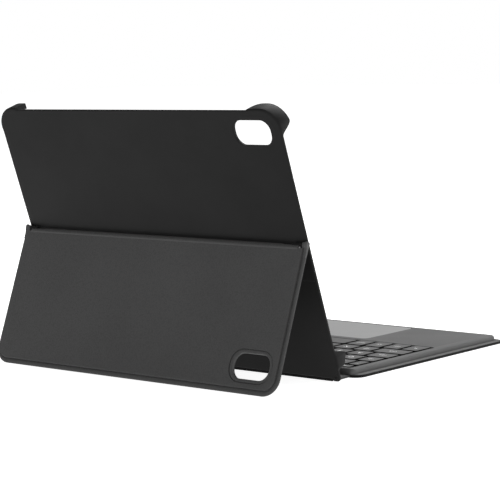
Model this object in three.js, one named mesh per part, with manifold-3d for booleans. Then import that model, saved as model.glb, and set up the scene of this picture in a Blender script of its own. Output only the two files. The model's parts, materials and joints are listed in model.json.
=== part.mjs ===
// Tablet keyboard case for a 10.9 inch tablet, standing open: a thin back shell with four grips leans
// back on a fold-out kickstand, and a slim keyboard with a trackpad lies in front of it on a flexible spine.
// Millimetres. +X is the typist's right, +Z is up, and the typist sits at -Y.
import * as THREE from "three";
import { mergeVertices } from "three/addons/utils/BufferGeometryUtils.js";
import Module from "manifold-3d";

const wasm = await Module();
wasm.setup();

// ---- Driving dimensions ----

// Back shell, measured in its own frame: x across, s up the shell, z from its back face towards the tablet.
const SHELL_LEAN = THREE.MathUtils.degToRad(17.97); // lean back from the vertical
const SHELL_HALF_WIDTH = 126;
const SHELL_HEIGHT = 184;
const SHELL_THICKNESS = 2;
const SHELL_TOP_RADIUS = 12;
const SHELL_BOTTOM_RADIUS = 4;
const GRIP_PROUD = 1.3; // how far the grips stand outside the shell's outline
const GRIP_DEPTH = 10.4;
const GRIP_TOP_REACH = 23; // along the top edge, from the corner
const GRIP_SIDE_REACH = 16; // down the short edge, from the corner
const LOWER_GRIP_WIDTH = 6.2;
const LOWER_GRIP_START = 8; // up each short edge, clear of the corner
const LOWER_GRIP_END = 17.5;
const LIP_THICKNESS = 0.8;
const LIP_REACH = 1.5;
const LINING_THICKNESS = 0.4;

// Tablet that the shell holds.
const TABLET_HALF_WIDTH = 124.3;
const TABLET_HEIGHT = 179.5;
const TABLET_BOTTOM = 2.6; // its lower edge, up the shell
const TABLET_CLEARANCE = 0.3;

// Camera slot through the shell, and the slot through the kickstand that clears it when the kickstand is
// flipped up.
const SLOT_X = -102.9;
const SLOT_WIDTH = 29.8;
const SLOT_HEIGHT = 16.4;
const SLOT_RADIUS = 7.2;
const CAMERA_SLOT_S = 169.4;
const KICKSTAND_SLOT_X = -104.4;
const KICKSTAND_SLOT_D = 79.5; // from the hinge axis

// Kickstand.
const HINGE_S = 96.3; // hinge axis, up the shell
const KICKSTAND_LENGTH = 97;
const KICKSTAND_HALF_WIDTH = 128.2;
const KICKSTAND_THICKNESS = 3.2;
const KICKSTAND_GAP = 0.4; // left between the closed kickstand and the shell
const KICKSTAND_CORNER_RADIUS = 12;
const SKIN_THICKNESS = 0.65;
const GLUE_LINE = 0.1;
const BORDER_WIDTH = 3.2; // pressed edge round the kickstand, where the two skins meet

// Friction hinges of the kickstand, one near each end.
const KNUCKLE_JOINT_X = 122; // between the bracket's knuckle, outside, and the leaf's knuckle
const KNUCKLE_GAP = 0.4;
const BRACKET_KNUCKLE = 3.6;
const LEAF_KNUCKLE = 5.4;
const KNUCKLE_RADIUS = 1.1;
const PIN_RADIUS = 0.5;
const PIN_BORE_RADIUS = 0.62;
const LEAF_THICKNESS = 0.5;
const LEAF_WIDTH = 12.6;
const LEAF_LENGTH = 14;
const LEAF_ROOT = 3.6; // the leaf starts this far from the hinge axis

// Spine, a flat flexible strip between two fold lines.
const FOLD_HEIGHT = 1.26;
const BASE_FOLD_Y = -15.1;
const SHELL_FOLD_OFFSET = 1; // fold line up the shell and in from its back face
const SPINE_HALF_WIDTH = 119;
const SPINE_WAIST = 1.5;
const SPINE_THICKNESS = 1.2;

// Keyboard base.
const BASE_HALF_WIDTH = 128.2;
const BASE_FRONT = -184.6;
const BASE_REAR = -15.9;
const BASE_CORNER_RADIUS = 10;
const RIM_HEIGHT = 2.4;
const SHEET_THICKNESS = 0.7;
const DECK_HALF_WIDTH = 124.4;
const DECK_FRONT = -180.8;
const DECK_REAR = -16.6;
const DECK_CORNER_RADIUS = 8;
const DECK_TOP = 6.1;
const DECK_WALL = 1.2;
const DECK_SKIN = 0.9;
const TRAY_FLOOR = 0.85;
const TRAY_THICKNESS = 0.6;

// Keys: six rows, counted from the typist. Widths are in key units, and the gap is taken off each one.
const KEY_UNIT = 17;
const UNITS_ACROSS = 14;
const KEY_GAP = 1.9;
const KEY_ROW_GAP = 2;
const KEY_FRONT = -110.7;
const KEY_DEPTH = 14.2;
const BOTTOM_KEY_DEPTH = 17.6;
const FUNCTION_KEY_DEPTH = 7.2;
const KEY_TOP = 5.7;
const KEY_THICKNESS = 1.4;
const KEY_CORNER = 1.2;
const KEY_WEB = 0.4; // thickness of the carrier that joins the keys of one row node
const WELL_MARGIN = 1.6;

// Trackpad.
const TRACKPAD_HALF_WIDTH = 55.4;
const TRACKPAD_FRONT = -176.3;
const TRACKPAD_REAR = -118.6;
const TRACKPAD_RADIUS = 5;
const TRACKPAD_TOP = 5.95;
const TRACKPAD_GLASS = 0.8;
const TRACKPAD_MARGIN = 0.4;

// ---- Materials ----

const plain = (color, roughness, metalness = 0) =>
  new THREE.MeshStandardMaterial({ color, roughness, metalness });
const material = {
  shell: plain(0x2b2b2c, 0.55),
  kickstandSkin: plain(0x434344, 0.62),
  innerSkin: plain(0x2a2a2b, 0.7),
  baseSkin: plain(0x5c5c5d, 0.6),
  board: plain(0x4a4238, 0.85),
  lining: plain(0x3a3a3c, 0.95),
  deck: plain(0x757576, 0.5),
  key: plain(0x6f6f70, 0.5),
  trackpad: plain(0xa6a6a6, 0.35),
  tray: plain(0x333334, 0.6),
  steel: plain(0x9a9a9c, 0.35, 1),
  magnet: plain(0xb5b5b2, 0.3, 1),
  circuit: plain(0x1e5c38, 0.5),
  membrane: plain(0x1a1a1b, 0.6),
  battery: plain(0x9fa3a8, 0.45),
  lens: plain(0xe8e8e8, 0.25),
};

// ---- Geometry helpers ----

// A rectangle with its own radius at each corner, as a Shape or as a hole in one.
function roundedOutline(Type, left, right, low, high, lowRadius, highRadius = lowRadius) {
  const path = new Type();
  path.moveTo(left + lowRadius, low);
  path.lineTo(right - lowRadius, low);
  path.absarc(right - lowRadius, low + lowRadius, lowRadius, -Math.PI / 2, 0, false);
  path.lineTo(right, high - highRadius);
  path.absarc(right - highRadius, high - highRadius, highRadius, 0, Math.PI / 2, false);
  path.lineTo(left + highRadius, high);
  path.absarc(left + highRadius, high - highRadius, highRadius, Math.PI / 2, Math.PI, false);
  path.lineTo(left, low + lowRadius);
  path.absarc(left + lowRadius, low + lowRadius, lowRadius, Math.PI, 1.5 * Math.PI, false);
  return path;
}

// A flat sheet of an outline between two levels.
function sheet(shape, from, to, curveSegments = 5) {
  const options = { depth: to - from, bevelEnabled: false, curveSegments };
  return new THREE.ExtrudeGeometry(shape, options).translate(0, 0, from);
}

function roundedSheet(left, right, low, high, radius, from, to, highRadius = radius) {
  return sheet(roundedOutline(THREE.Shape, left, right, low, high, radius, highRadius), from, to);
}

function block(left, right, low, high, from, to) {
  const box = new THREE.BoxGeometry(right - left, high - low, to - from);
  return box.translate((left + right) / 2, (low + high) / 2, (from + to) / 2);
}

// A cylinder along x whose axis passes through y and z.
function rod(radius, from, to, y, z, sides = 12) {
  const cylinder = new THREE.CylinderGeometry(radius, radius, to - from, sides);
  return cylinder.rotateZ(Math.PI / 2).translate((from + to) / 2, y, z);
}

function solidOf(geometry) {
  const bare = new THREE.BufferGeometry();
  bare.setAttribute("position", geometry.getAttribute("position"));
  bare.setIndex(geometry.index);
  const merged = mergeVertices(bare, 1e-4);
  const vertProperties = new Float32Array(merged.attributes.position.array);
  const triVerts = new Uint32Array(merged.index.array);
  return new wasm.Manifold(new wasm.Mesh({ numProp: 3, vertProperties, triVerts }));
}

function geometryOf(solid) {
  const mesh = solid.getMesh();
  const geometry = new THREE.BufferGeometry();
  geometry.setAttribute("position", new THREE.BufferAttribute(mesh.vertProperties, 3));
  geometry.setIndex(new THREE.BufferAttribute(mesh.triVerts, 1));
  geometry.computeVertexNormals();
  return geometry;
}

function join(...geometries) {
  return geometryOf(geometries.map(solidOf).reduce((all, one) => all.add(one)));
}

function cut(geometry, ...tools) {
  return geometryOf(tools.map(solidOf).reduce((rest, tool) => rest.subtract(tool), solidOf(geometry)));
}

function overlapOf(a, b) {
  return geometryOf(solidOf(a).intersect(solidOf(b)));
}

// ---- Scene graph ----

const keyboardCase = new THREE.Group();
const shellFrame = new THREE.Group();
shellFrame.rotation.x = Math.PI / 2 - SHELL_LEAN;
keyboardCase.add(shellFrame);

const kickstandFrame = new THREE.Group();
const hingeDepth = -(KICKSTAND_GAP + KICKSTAND_THICKNESS / 2);
kickstandFrame.position.set(0, HINGE_S, hingeDepth);
shellFrame.add(kickstandFrame);

function add(parent, name, geometry, look) {
  const mesh = new THREE.Mesh(geometry, look);
  mesh.name = name;
  parent.add(mesh);
  return mesh;
}

const sides = [
  ["left", -1],
  ["right", 1],
];

// A block between two distances from the middle, on one side of it.
function span(side, near, far, ...rest) {
  return block(Math.min(side * near, side * far), Math.max(side * near, side * far), ...rest);
}

// ---- Back shell ----

const BRACKET_END = KNUCKLE_JOINT_X + KNUCKLE_GAP / 2 + BRACKET_KNUCKLE;

// The slot's cutter or hole outline, centred on x and s.
function slotSheet(x, s, grow, from, to) {
  const halfWidth = SLOT_WIDTH / 2 + grow;
  const halfHeight = SLOT_HEIGHT / 2 + grow;
  return roundedSheet(
    x - halfWidth, x + halfWidth, s - halfHeight, s + halfHeight, SLOT_RADIUS + grow, from, to,
  );
}

function shellGeometry() {
  const plate = roundedSheet(
    -SHELL_HALF_WIDTH, SHELL_HALF_WIDTH, 0, SHELL_HEIGHT, SHELL_BOTTOM_RADIUS, 0, SHELL_THICKNESS,
    SHELL_TOP_RADIUS,
  );
  const gripHalfWidth = SHELL_HALF_WIDTH + GRIP_PROUD;
  const gripTop = SHELL_HEIGHT + GRIP_PROUD;
  const wall = roundedSheet(
    -gripHalfWidth, gripHalfWidth, 0, gripTop, SHELL_BOTTOM_RADIUS, 0, GRIP_DEPTH,
    SHELL_TOP_RADIUS + GRIP_PROUD,
  );
  const bayHalfWidth = TABLET_HALF_WIDTH + TABLET_CLEARANCE;
  const bayLow = TABLET_BOTTOM - TABLET_CLEARANCE;
  const bayHigh = TABLET_BOTTOM + TABLET_HEIGHT + TABLET_CLEARANCE;
  const bay = roundedSheet(
    -bayHalfWidth, bayHalfWidth, bayLow, bayHigh, 3, SHELL_THICKNESS, GRIP_DEPTH - LIP_THICKNESS,
    SHELL_TOP_RADIUS - 1.5,
  );
  const mouth = roundedSheet(
    -bayHalfWidth + LIP_REACH, bayHalfWidth - LIP_REACH, bayLow + LIP_REACH, bayHigh - LIP_REACH, 3,
    SHELL_THICKNESS, GRIP_DEPTH + 1, SHELL_TOP_RADIUS - 3,
  );
  const ring = cut(wall, bay, mouth);
  const above = gripTop + 1;
  const beyond = gripHalfWidth + 1;
  const corners = join(
    ...sides.flatMap(([, side]) => [
      span(
        side, gripHalfWidth - GRIP_TOP_REACH, beyond, gripTop - GRIP_SIDE_REACH, above, -1, GRIP_DEPTH + 1,
      ),
      span(
        side, gripHalfWidth - LOWER_GRIP_WIDTH, beyond, LOWER_GRIP_START, LOWER_GRIP_END, -1, GRIP_DEPTH + 1,
      ),
    ]),
  );
  // The spine folds into this notch in the lower edge.
  const notchHalfWidth = SPINE_HALF_WIDTH + 1;
  const notch = block(
    -notchHalfWidth, notchHalfWidth, -1, SHELL_FOLD_OFFSET + SPINE_THICKNESS / 2 + 0.3, -1,
    SHELL_THICKNESS + 1,
  );
  const slot = slotSheet(SLOT_X, CAMERA_SLOT_S, 0, -1, SHELL_THICKNESS + 1);
  // Seats for the hinge brackets, sunk into the back face under the kickstand.
  const seats = sides.map(([, side]) =>
    span(
      side, BRACKET_END - LEAF_WIDTH - 0.3, BRACKET_END + 0.2, HINGE_S - LEAF_LENGTH - 0.3, HINGE_S + 1.1,
      -1, LEAF_THICKNESS + 0.3,
    ),
  );
  return cut(join(plate, overlapOf(ring, corners)), notch, slot, ...seats);
}

add(shellFrame, "back_shell", shellGeometry(), material.shell);

const liningBack = SHELL_THICKNESS + GLUE_LINE;
add(
  shellFrame,
  "lining_sheet",
  cut(
    roundedSheet(
      -TABLET_HALF_WIDTH + 0.8, TABLET_HALF_WIDTH - 0.8, TABLET_BOTTOM + 0.8,
      TABLET_BOTTOM + TABLET_HEIGHT - 0.8, 3, liningBack, liningBack + LINING_THICKNESS, 9,
    ),
    slotSheet(SLOT_X, CAMERA_SLOT_S, 0.5, liningBack - 1, liningBack + LINING_THICKNESS + 1),
  ),
  material.lining,
);

// ---- Kickstand ----
// Its frame has y along the panel, up towards the hinge axis at y = 0, and z towards the shell.

const half = KICKSTAND_THICKNESS / 2;
const boardHalf = half - SKIN_THICKNESS - GLUE_LINE;
const kickstandEnd = -KICKSTAND_LENGTH;
const hingeHeight =
  HINGE_S * Math.cos(SHELL_LEAN) + hingeDepth * Math.sin(SHELL_LEAN);
// The free edge of the inner skin stands on the table.
const footReach = Math.hypot(KICKSTAND_LENGTH, half);
const kickstandLean = Math.atan2(half, KICKSTAND_LENGTH) + Math.acos(hingeHeight / footReach);
kickstandFrame.rotation.x = SHELL_LEAN + kickstandLean;

function kickstandSheet(inset, from, to) {
  return roundedSheet(
    -KICKSTAND_HALF_WIDTH + inset, KICKSTAND_HALF_WIDTH - inset, kickstandEnd + inset, 0,
    KICKSTAND_CORNER_RADIUS - inset, from, to, 0.4,
  );
}

// Room for the hinge brackets, which stay with the shell while the kickstand turns round them.
const bracketNotches = sides.map(([, side]) =>
  span(side, KNUCKLE_JOINT_X, KICKSTAND_HALF_WIDTH + 1, -2.6, 3, -half - 1, half + 1),
);
const kickstandSlot = (grow) =>
  slotSheet(KICKSTAND_SLOT_X, -KICKSTAND_SLOT_D, grow, -half - 1, half + 1);

function outerSkinGeometry() {
  const border = kickstandSheet(0, half - 2 * SKIN_THICKNESS - GLUE_LINE, half - SKIN_THICKNESS - GLUE_LINE);
  const raised = kickstandSheet(BORDER_WIDTH, -half, half - SKIN_THICKNESS - GLUE_LINE);
  const pocket = kickstandSheet(BORDER_WIDTH + SKIN_THICKNESS, -half + SKIN_THICKNESS, half + 1);
  const rim = slotSheet(
    KICKSTAND_SLOT_X, -KICKSTAND_SLOT_D, BORDER_WIDTH, -half + SKIN_THICKNESS - 0.2,
    half - SKIN_THICKNESS - GLUE_LINE,
  );
  const hollow = cut(join(border, raised), pocket);
  return cut(join(hollow, rim), kickstandSlot(0), ...bracketNotches, ...knucklePockets);
}

// Pockets in the board and skins for the leaves and knuckles that turn with the kickstand.
const leafKnuckleFar = KNUCKLE_JOINT_X - KNUCKLE_GAP / 2;
const knucklePockets = sides.map(([, side]) =>
  span(
    side, leafKnuckleFar - LEAF_KNUCKLE - 0.3, KNUCKLE_JOINT_X + 0.1, -1.5, 3, -KNUCKLE_RADIUS - 0.15,
    KNUCKLE_RADIUS + 0.15,
  ),
);
const leafPockets = sides.map(([, side]) =>
  span(
    side, leafKnuckleFar - LEAF_WIDTH - 0.3, KNUCKLE_JOINT_X + 9, -LEAF_LENGTH - 0.3, 1, -boardHalf - 1,
    boardHalf + 1,
  ),
);

add(kickstandFrame, "kickstand_outer_skin", outerSkinGeometry(), material.kickstandSkin);
add(
  kickstandFrame,
  "kickstand_inner_skin",
  cut(
    kickstandSheet(0, half - SKIN_THICKNESS, half),
    kickstandSlot(0),
    ...bracketNotches,
    ...knucklePockets,
  ),
  material.innerSkin,
);
add(
  kickstandFrame,
  "kickstand_board",
  cut(
    kickstandSheet(BORDER_WIDTH + SKIN_THICKNESS + 0.3, -boardHalf, boardHalf),
    kickstandSlot(BORDER_WIDTH + 0.6),
    ...leafPockets,
  ),
  material.board,
);

// Friction hinges: a bracket on the shell, a leaf in the kickstand, and the pin through both knuckles.
for (const [label, side] of sides) {
  const along = (radius, near, far, y, z) =>
    rod(radius, Math.min(side * near, side * far), Math.max(side * near, side * far), y, z);
  const bracketNear = KNUCKLE_JOINT_X + KNUCKLE_GAP / 2;
  const bracketLeaf = span(
    side, BRACKET_END - LEAF_WIDTH, BRACKET_END, HINGE_S - LEAF_LENGTH, HINGE_S + 0.8, 0.2,
    0.2 + LEAF_THICKNESS,
  );
  const neck = span(side, bracketNear, BRACKET_END, HINGE_S - 0.6, HINGE_S + 0.6, hingeDepth, 0.3);
  add(
    shellFrame,
    `hinge_bracket_${label}`,
    cut(
      join(bracketLeaf, neck, along(KNUCKLE_RADIUS, bracketNear, BRACKET_END, HINGE_S, hingeDepth)),
      along(PIN_BORE_RADIUS, bracketNear - 1, BRACKET_END + 1, HINGE_S, hingeDepth),
    ),
    material.steel,
  );
  const leafNear = leafKnuckleFar - LEAF_KNUCKLE;
  const leaf = span(
    side, leafKnuckleFar - LEAF_WIDTH, leafKnuckleFar, -LEAF_LENGTH, -LEAF_ROOT, -LEAF_THICKNESS,
    LEAF_THICKNESS,
  );
  const arm = span(side, leafNear, leafKnuckleFar, -LEAF_ROOT - 0.5, 0, -LEAF_THICKNESS, LEAF_THICKNESS);
  add(
    kickstandFrame,
    `hinge_leaf_${label}`,
    cut(
      join(leaf, arm, along(KNUCKLE_RADIUS, leafNear, leafKnuckleFar, 0, 0)),
      along(PIN_BORE_RADIUS, leafNear - 1, leafKnuckleFar + 1, 0, 0),
    ),
    material.steel,
  );
  add(
    kickstandFrame,
    `hinge_pin_${label}`,
    along(PIN_RADIUS, leafNear + 0.2, BRACKET_END - 0.2, 0, 0),
    material.steel,
  );
}

// ---- Spine ----

const shellFold = new THREE.Vector3(0, SHELL_FOLD_OFFSET, SHELL_FOLD_OFFSET).applyEuler(shellFrame.rotation);

function spineSheet(from, to) {
  const outline = new THREE.Shape();
  const rear = shellFold.y;
  const middle = (BASE_FOLD_Y + rear) / 2;
  outline.moveTo(-SPINE_HALF_WIDTH, BASE_FOLD_Y);
  outline.lineTo(SPINE_HALF_WIDTH, BASE_FOLD_Y);
  outline.quadraticCurveTo(SPINE_HALF_WIDTH - 2 * SPINE_WAIST, middle, SPINE_HALF_WIDTH, rear);
  outline.lineTo(-SPINE_HALF_WIDTH, rear);
  outline.quadraticCurveTo(-SPINE_HALF_WIDTH + 2 * SPINE_WAIST, middle, -SPINE_HALF_WIDTH, BASE_FOLD_Y);
  return sheet(outline, FOLD_HEIGHT + from, FOLD_HEIGHT + to);
}

add(keyboardCase, "spine_outer_skin", spineSheet(-SPINE_THICKNESS / 2, -0.05), material.baseSkin);
add(keyboardCase, "spine_inner_skin", spineSheet(0.1, SPINE_THICKNESS / 2), material.innerSkin);

// ---- Keyboard base ----

function baseSkinGeometry() {
  const outer = roundedSheet(
    -BASE_HALF_WIDTH, BASE_HALF_WIDTH, BASE_FRONT, BASE_REAR, BASE_CORNER_RADIUS, 0, RIM_HEIGHT,
  );
  const seat = roundedSheet(
    -DECK_HALF_WIDTH - 0.3, DECK_HALF_WIDTH + 0.3, DECK_FRONT - 0.3, DECK_REAR + 0.3,
    DECK_CORNER_RADIUS, SHEET_THICKNESS, RIM_HEIGHT + 1,
  );
  return cut(outer, seat);
}

add(keyboardCase, "base_skin", baseSkinGeometry(), material.baseSkin);

const innerHalfWidth = DECK_HALF_WIDTH - DECK_WALL;
const innerFront = DECK_FRONT + DECK_WALL;
const innerRear = DECK_REAR - DECK_WALL;
const keyRows = [];
{
  let front = KEY_FRONT;
  for (const depth of [BOTTOM_KEY_DEPTH, KEY_DEPTH, KEY_DEPTH, KEY_DEPTH, KEY_DEPTH, FUNCTION_KEY_DEPTH]) {
    keyRows.push({ front, rear: front + depth });
    front += depth + KEY_ROW_GAP;
  }
}
const fieldHalfWidth = (UNITS_ACROSS * KEY_UNIT - KEY_GAP) / 2;
const well = {
  left: -fieldHalfWidth - WELL_MARGIN,
  right: fieldHalfWidth + WELL_MARGIN,
  front: KEY_FRONT - WELL_MARGIN,
  rear: keyRows[5].rear + 0.6,
};

const SCREW_X = 116.5;
const screwPlaces = [-SCREW_X, SCREW_X].flatMap((x) => [
  [x, DECK_FRONT + 7.5],
  [x, well.front - 4.2],
]);
const PORT = { front: -158, rear: -149, low: 1.75, high: 4.85, depth: 7 };
const SWITCH = { front: -142, rear: -138, low: 2.4, high: 4.2 };
const SWITCH_TRAVEL = 2.5;
const LENS = { left: 96, right: 104, front: well.front - 3.2, rear: well.front - 1.8 };

function deckGeometry() {
  const outer = roundedSheet(
    -DECK_HALF_WIDTH, DECK_HALF_WIDTH, DECK_FRONT, DECK_REAR, DECK_CORNER_RADIUS, TRAY_FLOOR, DECK_TOP,
  );
  const inside = roundedSheet(
    -innerHalfWidth, innerHalfWidth, innerFront, innerRear, DECK_CORNER_RADIUS - DECK_WALL, 0,
    DECK_TOP - DECK_SKIN,
  );
  const keyWell = roundedSheet(well.left, well.right, well.front, well.rear, 1.5, 0, DECK_TOP + 1);
  const padHole = roundedSheet(
    -TRACKPAD_HALF_WIDTH - TRACKPAD_MARGIN, TRACKPAD_HALF_WIDTH + TRACKPAD_MARGIN,
    TRACKPAD_FRONT - TRACKPAD_MARGIN, TRACKPAD_REAR + TRACKPAD_MARGIN, TRACKPAD_RADIUS, 0, DECK_TOP + 1,
  );
  const wallRange = [DECK_HALF_WIDTH - DECK_WALL - 1, DECK_HALF_WIDTH + 1];
  const portMouth = block(...wallRange, PORT.front - 0.3, PORT.rear + 0.3, PORT.low - 0.3, PORT.high + 0.3);
  const switchMouth = block(
    ...wallRange, SWITCH.front - 0.4, SWITCH.rear + SWITCH_TRAVEL + 0.4, SWITCH.low - 0.3,
    SWITCH.high + 0.3,
  );
  const lensHole = block(
    LENS.left - 0.2, LENS.right + 0.2, LENS.front - 0.2, LENS.rear + 0.2, 0, DECK_TOP + 1,
  );
  const boss = (radius, low, high) => ([x, y]) =>
    new THREE.CylinderGeometry(radius, radius, high - low, 8)
      .rotateX(Math.PI / 2)
      .translate(x, y, (low + high) / 2);
  const bosses = screwPlaces.map(boss(2, 2.2, DECK_TOP - DECK_SKIN / 2));
  const bores = screwPlaces.map(boss(0.9, 1, DECK_TOP - 1.3));
  const hollow = cut(outer, inside, keyWell, padHole, portMouth, switchMouth, lensHole);
  return cut(join(hollow, ...bosses), ...bores);
}

add(keyboardCase, "deck", deckGeometry(), material.deck);

function trayGeometry() {
  const floor = roundedSheet(
    -innerHalfWidth + 0.3, innerHalfWidth - 0.3, innerFront + 0.3, innerRear - 0.3,
    DECK_CORNER_RADIUS - DECK_WALL - 0.3, TRAY_FLOOR, TRAY_FLOOR + TRAY_THICKNESS,
  );
  const holes = screwPlaces.map(([x, y]) =>
    new THREE.CylinderGeometry(0.95, 0.95, 3, 8).rotateX(Math.PI / 2).translate(x, y, TRAY_FLOOR),
  );
  return cut(floor, ...holes);
}

const trayTop = TRAY_FLOOR + TRAY_THICKNESS;
add(keyboardCase, "base_tray", trayGeometry(), material.tray);

screwPlaces.forEach(([x, y], index) => {
  const shank = new THREE.CylinderGeometry(0.65, 0.65, 3, 8).rotateX(Math.PI / 2).translate(x, y, 3.1);
  const head = new THREE.CylinderGeometry(1.3, 1.3, 0.5, 8).rotateX(Math.PI / 2).translate(x, y, 1.85);
  add(keyboardCase, `case_screw_${index + 1}`, join(shank, head), material.steel);
});

// What lies under the keys: a steel plate, and the switch membrane on it.
const STEEL_FLOOR = 1.9;
const STEEL_THICKNESS = 0.4;
const MEMBRANE_FLOOR = STEEL_FLOOR + STEEL_THICKNESS + 0.1;
const MEMBRANE_THICKNESS = 0.45;
add(
  keyboardCase,
  "key_plate",
  roundedSheet(
    well.left - 1.2, well.right + 1.2, well.front - 1, well.rear - 0.4, 4, STEEL_FLOOR,
    STEEL_FLOOR + STEEL_THICKNESS,
  ),
  material.steel,
);
add(
  keyboardCase,
  "switch_membrane",
  roundedSheet(
    well.left - 1, well.right + 1, well.front - 0.8, well.rear - 0.6, 4, MEMBRANE_FLOOR,
    MEMBRANE_FLOOR + MEMBRANE_THICKNESS,
  ),
  material.membrane,
);

// Under the palm rests: a battery cell each side, the main board with the charge port and the power switch.
for (const [label, side] of sides) {
  const [left, right] = side < 0 ? [-112, -60] : [60, 100];
  add(
    keyboardCase,
    `battery_cell_${label}`,
    roundedSheet(left, right, -170, -121, 1.5, trayTop + 0.3, 4.6),
    material.battery,
  );
  add(
    keyboardCase,
    `lid_magnet_${label}`,
    block(side * 86 - 14, side * 86 + 14, -177.5, -173.5, trayTop + 0.3, 4.8),
    material.magnet,
  );
}
add(
  keyboardCase,
  "main_board",
  block(102, 113.5, -165, -121, trayTop + 0.3, trayTop + 1.1),
  material.circuit,
);
add(
  keyboardCase,
  "charge_port",
  cut(
    block(DECK_HALF_WIDTH - 0.3 - PORT.depth, DECK_HALF_WIDTH - 0.3, PORT.front, PORT.rear, PORT.low, PORT.high),
    block(
      DECK_HALF_WIDTH - PORT.depth + 1, DECK_HALF_WIDTH + 1, PORT.front + 0.35, PORT.rear - 0.35,
      PORT.low + 0.35, PORT.high - 0.35,
    ),
  ),
  material.steel,
);
add(
  keyboardCase,
  "power_slider",
  block(DECK_HALF_WIDTH - 3.2, DECK_HALF_WIDTH + 0.5, SWITCH.front, SWITCH.rear, SWITCH.low, SWITCH.high),
  material.tray,
);
add(
  keyboardCase,
  "indicator_lens",
  block(LENS.left, LENS.right, LENS.front, LENS.rear, 4.6, DECK_TOP - 0.05),
  material.lens,
);

// Trackpad: a touch surface on its sensor board, hinged at the rear over a click switch at the front.
add(
  keyboardCase,
  "trackpad_surface",
  roundedSheet(
    -TRACKPAD_HALF_WIDTH, TRACKPAD_HALF_WIDTH, TRACKPAD_FRONT, TRACKPAD_REAR, TRACKPAD_RADIUS - 0.4,
    TRACKPAD_TOP - TRACKPAD_GLASS, TRACKPAD_TOP,
  ),
  material.trackpad,
);
add(
  keyboardCase,
  "trackpad_board",
  block(
    -TRACKPAD_HALF_WIDTH + 2, TRACKPAD_HALF_WIDTH - 2, TRACKPAD_FRONT + 2, TRACKPAD_REAR - 2, 4.1,
    TRACKPAD_TOP - TRACKPAD_GLASS - 0.1,
  ),
  material.circuit,
);
add(
  keyboardCase,
  "click_switch",
  block(-3, 3, TRACKPAD_FRONT + 6, TRACKPAD_FRONT + 11, trayTop + 0.3, 3.5),
  material.tray,
);

// ---- Keys ----

// One key cap: its left edge in key units from the left end of the key field, its width in units, its row.
function keyCap(start, width, row, low = 0, high = 1) {
  const { front, rear } = keyRows[row];
  const left = -fieldHalfWidth + start * KEY_UNIT;
  const right = left + width * KEY_UNIT - KEY_GAP;
  const depth = rear - front;
  const shape = new THREE.Shape();
  const [y0, y1, c] = [front + low * depth, front + high * depth, KEY_CORNER];
  shape.moveTo(left + c, y0);
  shape.lineTo(right - c, y0);
  shape.lineTo(right, y0 + c);
  shape.lineTo(right, y1 - c);
  shape.lineTo(right - c, y1);
  shape.lineTo(left + c, y1);
  shape.lineTo(left, y1 - c);
  shape.lineTo(left, y0 + c);
  return sheet(shape, KEY_TOP - KEY_THICKNESS, KEY_TOP);
}

// A run of equal keys on one thin carrier under the caps.
function keyRun(start, count, row) {
  const { front, rear } = keyRows[row];
  const caps = Array.from({ length: count }, (_, index) => keyCap(start + index, 1, row));
  const left = -fieldHalfWidth + start * KEY_UNIT + 2;
  const right = -fieldHalfWidth + (start + count) * KEY_UNIT - KEY_GAP - 2;
  const carrier = block(
    left, right, front + 2, rear - 2, KEY_TOP - KEY_THICKNESS, KEY_TOP - KEY_THICKNESS + KEY_WEB,
  );
  return join(...caps, carrier);
}

// Rows from the typist to the tablet. The widths of each row add up to 14 units.
const MODIFIER = 0.92;
const SPACE = UNITS_ACROSS - 9 * MODIFIER;
const keys = [
  ["key_function", 0, MODIFIER, 0],
  ["key_control", MODIFIER, MODIFIER, 0],
  ["key_option_left", 2 * MODIFIER, MODIFIER, 0],
  ["key_command_left", 3 * MODIFIER, MODIFIER, 0],
  ["key_space", 4 * MODIFIER, SPACE, 0],
  ["key_command_right", 4 * MODIFIER + SPACE, MODIFIER, 0],
  ["key_option_right", 5 * MODIFIER + SPACE, MODIFIER, 0],
  ["key_arrow_left", 6 * MODIFIER + SPACE, MODIFIER, 0],
  ["key_arrow_down", 7 * MODIFIER + SPACE, MODIFIER, 0, 0, 0.46],
  ["key_arrow_up", 7 * MODIFIER + SPACE, MODIFIER, 0, 0.54, 1],
  ["key_arrow_right", 8 * MODIFIER + SPACE, MODIFIER, 0],
  ["key_shift_left", 0, 1.63, 1],
  ["key_shift_right", 11.63, 2.37, 1],
  ["key_caps_lock", 0, 1.23, 2],
  ["key_enter", 12.23, 1.77, 2],
  ["key_tab", 0, 0.92, 3],
  ["key_backslash", 12.92, 1.08, 3],
  ["key_grave", 0, 0.61, 4],
  ["key_backspace", 12.61, 1.39, 4],
  ["key_escape", 0, 1, 5],
];
for (const [name, ...place] of keys) add(keyboardCase, name, keyCap(...place), material.key);

const keyRuns = [
  ["keys_lower_letters", 1.63, 10, 1],
  ["keys_home_letters", 1.23, 11, 2],
  ["keys_upper_letters", 0.92, 12, 3],
  ["keys_numbers", 0.61, 12, 4],
  ["keys_function_row", 1, 13, 5],
];
for (const [name, ...place] of keyRuns) add(keyboardCase, name, keyRun(...place), material.key);

// The origin is the middle of the whole object's box, at its base.
const box = new THREE.Box3().setFromObject(keyboardCase, true);
keyboardCase.position.y = -(box.min.y + box.max.y) / 2;

export default keyboardCase;
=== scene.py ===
"""Looks of the tablet keyboard case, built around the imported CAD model.

Places are in metres in the frame, and sizes are in mm.
"""
import json
import math

import bmesh
import bpy
from mathutils import Matrix, Vector

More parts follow.
